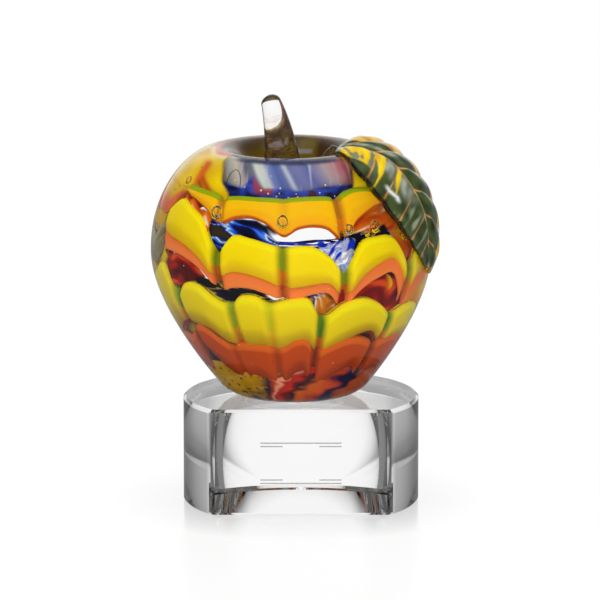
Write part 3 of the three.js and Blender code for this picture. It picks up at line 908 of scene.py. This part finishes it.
def threads():
    """Fine blue threads wound round the heart."""
    random.seed(7)
    for name, node, low in (
        ("upper_threads", "thread_upper", 35),
        ("middle_threads", "thread_middle", 57.5),
        ("lower_threads", "thread_lower", 85),
    ):
        shape = bmesh.new()
        for k in range(THREADS):
            start = random.uniform(-180, 0)
            rise = random.uniform(-3.0, 3.0)
            height = random.uniform(low + 1, low + 5)
            deep = random.uniform(11.5, 15)
            radius = random.uniform(0.12, 0.34)
            points = []
            radii = []
            for t in span(0, 1, 120):
                degrees = start + 300 * t
                wave = 1.6 * stir(degrees * 0.03, k * 3.1, low)
                points.append(inside(degrees, height + wave + rise * (t - 0.5), deep + 1.5 * wave))
                radii.append(radius * (1 + 0.5 * stir(degrees * 0.08, k, 8.0)) + 0.04)
            tube(shape, points, radii)
        piece = new_piece(name, shape, BLUE)
        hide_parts(node)


def ball(shape, place, radius, stretch=1.0, detail=3):
    made = bmesh.ops.create_icosphere(shape, subdivisions=detail, radius=radius * MM)
    for vert in made["verts"]:
        vert.co.z *= stretch
        vert.co += place


def bubbles():
    """The bubbles trapped at the folds, and the seed bubbles scattered round the hollow as pale specks of
    painted highlight.
    """
    shape = bmesh.new()
    for degrees, distance, radius in (
        (-36, 28.3, 2.3), (-3, 30.2, 2.2), (27.3, 34.4, 1.9), (58, 40, 1.8), (-66, 18.2, 1.5),
        (-64, 11, 0.5), (-74, 24, 0.4), (88, 33, 2.0), (120, 32, 2.1), (150, 33, 2.0), (180, 32, 2.2),
        (-150, 33, 2.0), (-120, 32, 2.1), (-96, 33, 1.9), (41, 34.5, 2.1), (36, 36.5, 1.2),
    ):
        ball(shape, inside(degrees, distance, 3.2), radius, 1.15, 4)
    new_piece("trapped_bubbles", shape, BUBBLE)
    random.seed(11)
    shape = bmesh.new()
    for _ in range(100):
        degrees = random.gauss(6, 24)
        spot = random.uniform(30.0, 31.4), mix(68, 88, random.betavariate(1.3, 2.6))
        ball(shape, set_down(math.radians(degrees), spot), random.uniform(0.18, 0.42), 1.0, 2)
    for _ in range(60):
        degrees = random.uniform(-180, 180)
        spot = skin.at(random.uniform(8, 100), random.uniform(1.2, 3.8))
        ball(shape, set_down(math.radians(degrees), spot), random.uniform(0.1, 0.24), 1.0, 2)
    new_piece("seed_bubble_glints", shape, SEED_GLINT)


def window_loop():
    """A hair-thin loop of dark glass at the left end of the window."""
    points = []
    for angle in span(0, TAU, 60):
        degrees = -38.5 + 5.5 * math.cos(angle) + 1.5 * math.sin(angle)
        points.append(set_down(math.radians(degrees), (30.2, 79.5 + 7.5 * math.sin(angle))))
    shape = bmesh.new()
    tube(shape, points, [0.13] * len(points))
    new_piece("window_loop", shape, NAVY)


# Stem


STEM_OFF = -1.9
STEM_HOOK = 24
STEM_REACH = (-4.9, 37.4)
STEM_LENGTH = 37.6
STEM_ROOT_R = 7.9
STEM_TIP_R = 3.3
STEM_FLARE = 0.3


def stem_rod():
    """The drawn stem, which thins and hooks to the left."""
    foot = Vector((STEM_OFF - LEAN * HOLLOW_FLOOR, 0, HOLLOW_FLOOR)) * MM + Vector((APPLE_X, 0, APPLE_FOOT))
    hook = foot + Vector((0, 0, STEM_HOOK * MM))
    tip = foot + Vector((STEM_REACH[0] * MM, 0, STEM_REACH[1] * MM))
    points = []
    radii = []
    for t in span(0, 1, 60):
        share = 1 - (1 - t) ** 1.5
        place = foot * (1 - share) ** 2 + hook * (2 * share * (1 - share)) + tip * share ** 2
        place.x -= LEAN * (place.z - foot.z)
        radius = mix(STEM_ROOT_R, STEM_TIP_R, share) + STEM_FLARE * (1 - share) ** 4
        near = (1 - share) * STEM_LENGTH
        if near < STEM_TIP_R:
            radius *= math.sqrt(max(1 - ((STEM_TIP_R - near) / STEM_TIP_R) ** 2, 0.001))
        points.append(place)
        radii.append(radius)
    shape = bmesh.new()
    tube(shape, points, radii, sides=48)
    piece = new_piece("glass_stem", shape, STEM)
    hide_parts("stem")


# Leaf

LEAF_BEARING = 76
LEAF_START = -9.0
LEAF_LENGTH = 67.0
LEAF_HALF = 24.6
VEIN_PITCH = 0.135
VEIN_SWEEP = 0.19
FIRST_VEIN = 0.245
LEAF_CLEAR = 0.3
LEAF_DOME = 3.3
LOBE_RISE = 1.5
RIB_GROOVE = 0.5


def leaf_half(share):
    """Half the leaf's width, by the share of its length."""
    share = min(max(share, 1e-4), 0.9999)
    return LEAF_HALF * math.sin(math.pi * share ** 0.9) ** 0.8


def midrib(share):
    """Where the midrib lies across the leaf, from -1 at its front edge to 1 at its back edge."""
    return -0.22 - 0.45 * smooth((0.36 - share) / 0.3) - 0.45 * smooth((share - 0.6) / 0.45)


def vein_place(share, across):
    """Counts the side veins, which leave the midrib and sweep towards the tip."""
    return (share - VEIN_SWEEP * abs(across - midrib(share)) - FIRST_VEIN) / VEIN_PITCH


def over_skin(share, across, height):
    """A point over the apple's skin, by its share of the leaf's length and width."""
    distance = LEAF_START + LEAF_LENGTH * share
    half = leaf_half(share)
    point = skin.at(distance, -height)
    reach = max(skin.at(distance)[0], 1.0)
    return set_down(math.radians(LEAF_BEARING) + across * half / reach, point)


def leaf_relief(share, across):
    """Pressed lobes between the veins, and a groove along the midrib."""
    place = vein_place(share, across)
    off = abs(across - midrib(share))
    lobe = abs(math.sin(math.pi * place)) ** 0.7
    lobe *= smooth(off / 0.2) * smooth((share - 0.06) / 0.1) * smooth((0.97 - share) / 0.1)
    return LOBE_RISE * lobe - RIB_GROOVE * stripe(off, 0.06)


def leaf_face(share, across):
    """A point of the leaf's upper face: its dome, its relief and its thin scalloped edge."""
    half = leaf_half(share)
    swell = math.sqrt(half / LEAF_HALF)
    place = vein_place(share, math.copysign(1, across))
    scallop = 1 - 0.05 * (1 - abs(math.sin(math.pi * place)) ** 0.5)
    wide = across * scallop
    dome = (1 - wide * wide) * LEAF_DOME * swell
    relief = leaf_relief(share, across) * min(swell, 1) * (1 - wide ** 6)
    return wide, LEAF_CLEAR + 1.2 * swell + dome + relief * 0.9


def leaf_colour(share, across):
    """Dark green with paler lobes, yellow wedges beside the upper veins, amber at the far margin and a
    painted white highlight near the front edge.
    """
    off = across - midrib(share)
    place = vein_place(share, across)
    near = place - round(place)
    n = flow(share * 16, across * 5, 2.0)
    streaks = flow(place * 5, off * 3.5, 6.0)
    lobe = abs(math.sin(math.pi * place)) ** 0.5
    colour = blended("586838", "24341f", 0.5 + 0.5 * n)
    misted = blended("b0b8ac", "7c8870", 0.5 + streaks)

    def wedge(low, high, tip, reach):
        t = -off / reach
        if not -0.05 < t < 1:
            return 0.0
        return smooth((place - mix(low, tip, t)) / 0.03) * smooth((mix(high, tip, t) - place) / 0.03)

    if off < 0:
        beside = smooth(1.3 - 1.3 * abs(off + 0.24) / 0.22) * lobe * smooth((share - 0.3) / 0.05)
        colour = blended(colour, misted, beside * smooth((0.62 - share) / 0.1))
        colour = blended(colour, "a4a88c", (streaks - 0.3) * 1.5 * smooth((share - 0.5) / 0.08))
        yellow = blended("ffe000", "e0a800", 0.4 + 0.6 * streaks)
        head = smooth((place + 1.3) / 0.15) * smooth((0.08 - place) / 0.05) * smooth((0.55 + off) / 0.06)
        wedges = max(wedge(-0.1, 0.45, 0.48, 0.8), wedge(0.84, 1.28, 1.35, 0.55))
        colour = blended(colour, yellow, max(head, wedges))
        colour = blended(colour, misted, head * smooth((streaks - 0.35) / 0.1))
    else:
        far = 0.4 + 0.15 * smooth((share - 0.3) / 0.3)
        colour = blended(colour, misted, smooth(1 - abs(off - 0.2) / 0.1) * smooth((0.4 - share) / 0.1))
        margin = blended("f0c840", "c08c20", 0.5 + n)
        colour = blended(colour, margin, smooth((off - far) / 0.06))
    line = blended("e8b070", "b87838", 0.5 + n)
    if share > 0.3 or off > 0:
        colour = blended(colour, line, smooth((0.055 - abs(near)) / 0.03) * smooth((0.85 - abs(off)) / 0.1))
    colour = blended(colour, "f0b868", smooth((0.045 - abs(off)) / 0.02))
    # A painted highlight: a white streak near the front edge.
    glow = stripe(across + 0.74, 0.035) * smooth((share - 0.44) / 0.03) * smooth((0.57 - share) / 0.03)
    return blended(colour, "f8fcf8", glow)


# The height of the coloured core's underside, and how far up the clear glass it reaches.
CORE_LOW = 0.75
CORE_SHARE = 0.62


def leaf_slab(columns, rows, low, high, core=False):
    """A closed slab over a part of the leaf's length: the clear glass, or the core inside it."""
    shape = bmesh.new()
    bmesh.ops.create_grid(shape, x_segments=columns, y_segments=rows, size=0.5)
    tint = shape.verts.layers.float_color.new("tint") if core else None
    raised = bmesh.ops.extrude_face_region(shape, geom=shape.faces[:])
    lower = {v for v in raised["geom"] if isinstance(v, bmesh.types.BMVert)}
    spots = {v: (v.co.x * 2, mix(low, high, v.co.y + 0.5)) for v in shape.verts}
    for vert, (across, share) in spots.items():
        if core:
            across *= 0.92 if across < 0 else mix(0.86, 0.4, smooth((share - 0.5) / 0.2))
            vert[tint] = leaf_colour(share, across)
        wide, height = leaf_face(share, across)
        if vert in lower:
            height = CORE_LOW if core else LEAF_CLEAR
        elif core:
            height = mix(LEAF_CLEAR, height, CORE_SHARE)
        vert.co = over_skin(share, wide, height)
    return shape


def leaf():
    """The clear glass, pressed into lobes on a flat underside, and the coloured glass inside it."""
    piece = new_piece("leaf_glass", leaf_slab(72, 170, 0.012, 0.988), GLASS)
    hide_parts("leaf_blade")
    new_piece("leaf_core", leaf_slab(110, 200, 0.04, 0.94, core=True), LEAF_CORE)


def leaf_stalk():
    """The clear trail of glass that runs from the stem's foot over the rim to the leaf."""
    start = inside(62, -HOLLOW_LENGTH + 1.5, -2.2)
    points = []
    radii = []
    for t in span(0, 1, 60):
        along = inside(mix(60, 76, t), mix(-HOLLOW_LENGTH + 1.5, -6.0, t), -2.1)
        ripple = 0.5 * math.sin(t * 40)
        points.append(start.lerp(along, smooth(t * 3)) + Vector((0, 0, ripple * 0.4 * MM)))
        radii.append(mix(1.9, 2.5, t) + 0.22 * math.sin(t * 52) * (1 - t))
    radii[0] = radii[-1] = 0.6
    radii[1] = radii[-2] = 1.4
    shape = bmesh.new()
    tube(shape, points, radii, sides=28)
    piece = new_piece("leaf_stalk_glass", shape, STALK)
    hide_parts("leaf_stalk")


# Light, floor and camera

PHOTO_SCALE = 0.3735 * MM
CAMERA_LIFT = math.radians(11.3)
CAMERA_AWAY = 2.5
PHOTO_WIDE = 600
# The photograph's middle, from the base's middle, in its pixels.
PHOTO_MIDDLE = (-1, 199.1)


def look():
    """The camera, a little above the award and well away, as the photograph has it."""
    camera = bpy.data.cameras.new("camera")
    camera.lens = camera.sensor_width * CAMERA_AWAY / (PHOTO_WIDE * PHOTO_SCALE)
    camera.clip_end = 20
    sight = put("camera", camera)
    aim = Vector((PHOTO_MIDDLE[0], 0, PHOTO_MIDDLE[1] / math.cos(CAMERA_LIFT))) * PHOTO_SCALE
    away = Vector((0, -math.cos(CAMERA_LIFT), math.sin(CAMERA_LIFT))) * CAMERA_AWAY
    sight.location = aim + away
    sight.rotation_euler = (-away).to_track_quat("-Z", "Y").to_euler()
    scene.camera = sight


LAMPS_AIM = Vector((0, 0, 0.08))


def lamp(name, place, size, power):
    """A soft lamp that glass and polish don't show."""
    data = bpy.data.lights.new(name, "AREA")
    data.shape = "RECTANGLE"
    data.size, data.size_y = size
    data.energy = power
    item = put(name, data)
    item.location = place
    item.rotation_euler = (LAMPS_AIM - Vector(place)).to_track_quat("-Z", "Y").to_euler()
    item.visible_glossy = False
    item.visible_transmission = False


def surroundings():
    """White for the camera. Glass sees a bright back and top, and mirrored rays a dark front."""
    world = bpy.data.worlds.new("studio")
    scene.world = world
    finish = Finish("studio", world)
    light = finish.add("LightPath").outputs
    x, y, z = finish.spot("Generated")
    across = finish.math("ABSOLUTE", x)
    deep = finish.ramp(y, [(0.15, 0.4), (0.6, 1.0)])
    through = finish.math("MINIMUM", deep, finish.ramp(across, [(0.6, 1.0), (0.95, 0.4)]))
    behind = finish.ramp(y, [(0.3, 0.22), (0.75, 0.5), (0.9, 1.0)])
    behind = finish.math("MULTIPLY", behind, finish.ramp(across, [(0.3, 1.0), (0.5, 0.45)]))
    mirrored = finish.math("MAXIMUM", behind, finish.ramp(z, [(0.78, 0.0), (0.95, 0.7)]))
    seen = finish.blend(finish.math("GREATER_THAN", light["Glossy Depth"], 0.5), through, mirrored)
    seen = finish.blend(finish.math("GREATER_THAN", light["Diffuse Depth"], 0.5), seen, 0.95)
    seen = finish.blend(light["Is Camera Ray"], seen, 1.0)
    finish.finish(finish.add("Background", Color=seen).outputs["Background"])


# Keeps the floor off the base's underside.
FLOOR_GAP = 0.05 * MM


def ground():
    """A white floor that keeps the shadow, and that glass sees darker to the sides."""
    shape = bmesh.new()
    bmesh.ops.create_grid(shape, x_segments=1, y_segments=1, size=3.0)
    mesh = bpy.data.meshes.new("floor")
    shape.to_mesh(mesh)
    shape.free()
    floor = put("floor", mesh)
    floor.location.z = -FLOOR_GAP
    finish = Finish("floor")
    light = finish.add("LightPath").outputs
    x, y, _ = finish.spot()
    side = finish.ramp(finish.math("ABSOLUTE", x), [(0.012, 1.0), (0.04, 0.45), (0.1, 0.18)])
    side = finish.math("MAXIMUM", side, finish.ramp(y, [(0.14, 0.0), (0.2, 1.0)]))
    direct = finish.math("LESS_THAN", light["Glossy Depth"], 0.5)
    through = finish.math("MULTIPLY", side, finish.math("MAXIMUM", direct, 0.15))
    through = finish.math("MAXIMUM", through, 0.08)
    glow = finish.add("Emission", Strength=finish.math("MAXIMUM", light["Is Camera Ray"], through))
    plain = finish.shader(Base_Color=0.9, Roughness=0.25)
    shown = finish.math("MULTIPLY", finish.math("SUBTRACT", 1.0, light["Is Diffuse Ray"]), 0.8)
    lit = finish.either(shown, plain, glow.outputs["Emission"])
    # A faint mirrored image of the base, close round it.
    place = finish.add("TexCoord").outputs["Object"]
    reach = finish.add("VectorMath", operation="LENGTH", Vector=place).outputs["Value"]
    close = finish.ramp(reach, [(0.04, 0.35), (0.07, 0.0)])
    polish = finish.add("BsdfGlossy", Roughness=0.04)
    share = finish.math("MULTIPLY", close, light["Is Camera Ray"])
    mesh.materials.append(finish.finish(finish.either(share, lit, polish.outputs["BSDF"])))


crystal_base()
ruled_lines()
bond_spot()
apple_body()
ribbon("ribbon_1_gold", "tier_1_gold", TIER_1, 0, 2, GOLD)
ribbon("ribbon_1_amber", "tier_1_amber", TIER_1, 1, 2, AMBER, start=0.5, grow=0.8)
ribbon("ribbon_2_yellow", "tier_2_yellow", TIER_2, 0, 3, YELLOW)
ribbon("ribbon_2_orange", "tier_2_orange", TIER_2, 1, 3, ORANGE, start=0.5, end=LIP)
ribbon("ribbon_2_red", "tier_2_red", TIER_2, 2, 3, RED, start=0.5, grow=-2)
ribbon("ribbon_3_yellow", "tier_3_yellow", TIER_3, 0, 2, OLIVE)
ribbon("ribbon_3_orange", "tier_3_orange", TIER_3, 1, 2, RUST, start=0.5, end=LIP)
ribbon("ribbon_4_orange", "tier_4_orange", TIER_4, 0, 2, RUST)
ribbon("ribbon_4_red", "tier_4_red", TIER_4, 1, 2, WINE, start=0.5, grow=0.8)
blue_crown()
shoulder_swirl()
foot_swirl()
dark_swirls()
threads()
bubbles()
window_loop()
stem_rod()
leaf_stalk()
leaf()

look()
surroundings()
lamp("key", (-0.8, -1.7, 1.0), (1.2, 1.2), 17)
lamp("fill", (1.1, -1.5, 0.5), (1.0, 1.0), 12.5)
lamp("back", (0.3, 1.2, 1.3), (1.4, 0.8), 6)
ground()
scene.view_settings.view_transform = "Standard"
cycles = scene.cycles
cycles.max_bounces = cycles.transmission_bounces = cycles.transparent_max_bounces = 24
cycles.glossy_bounces = 16
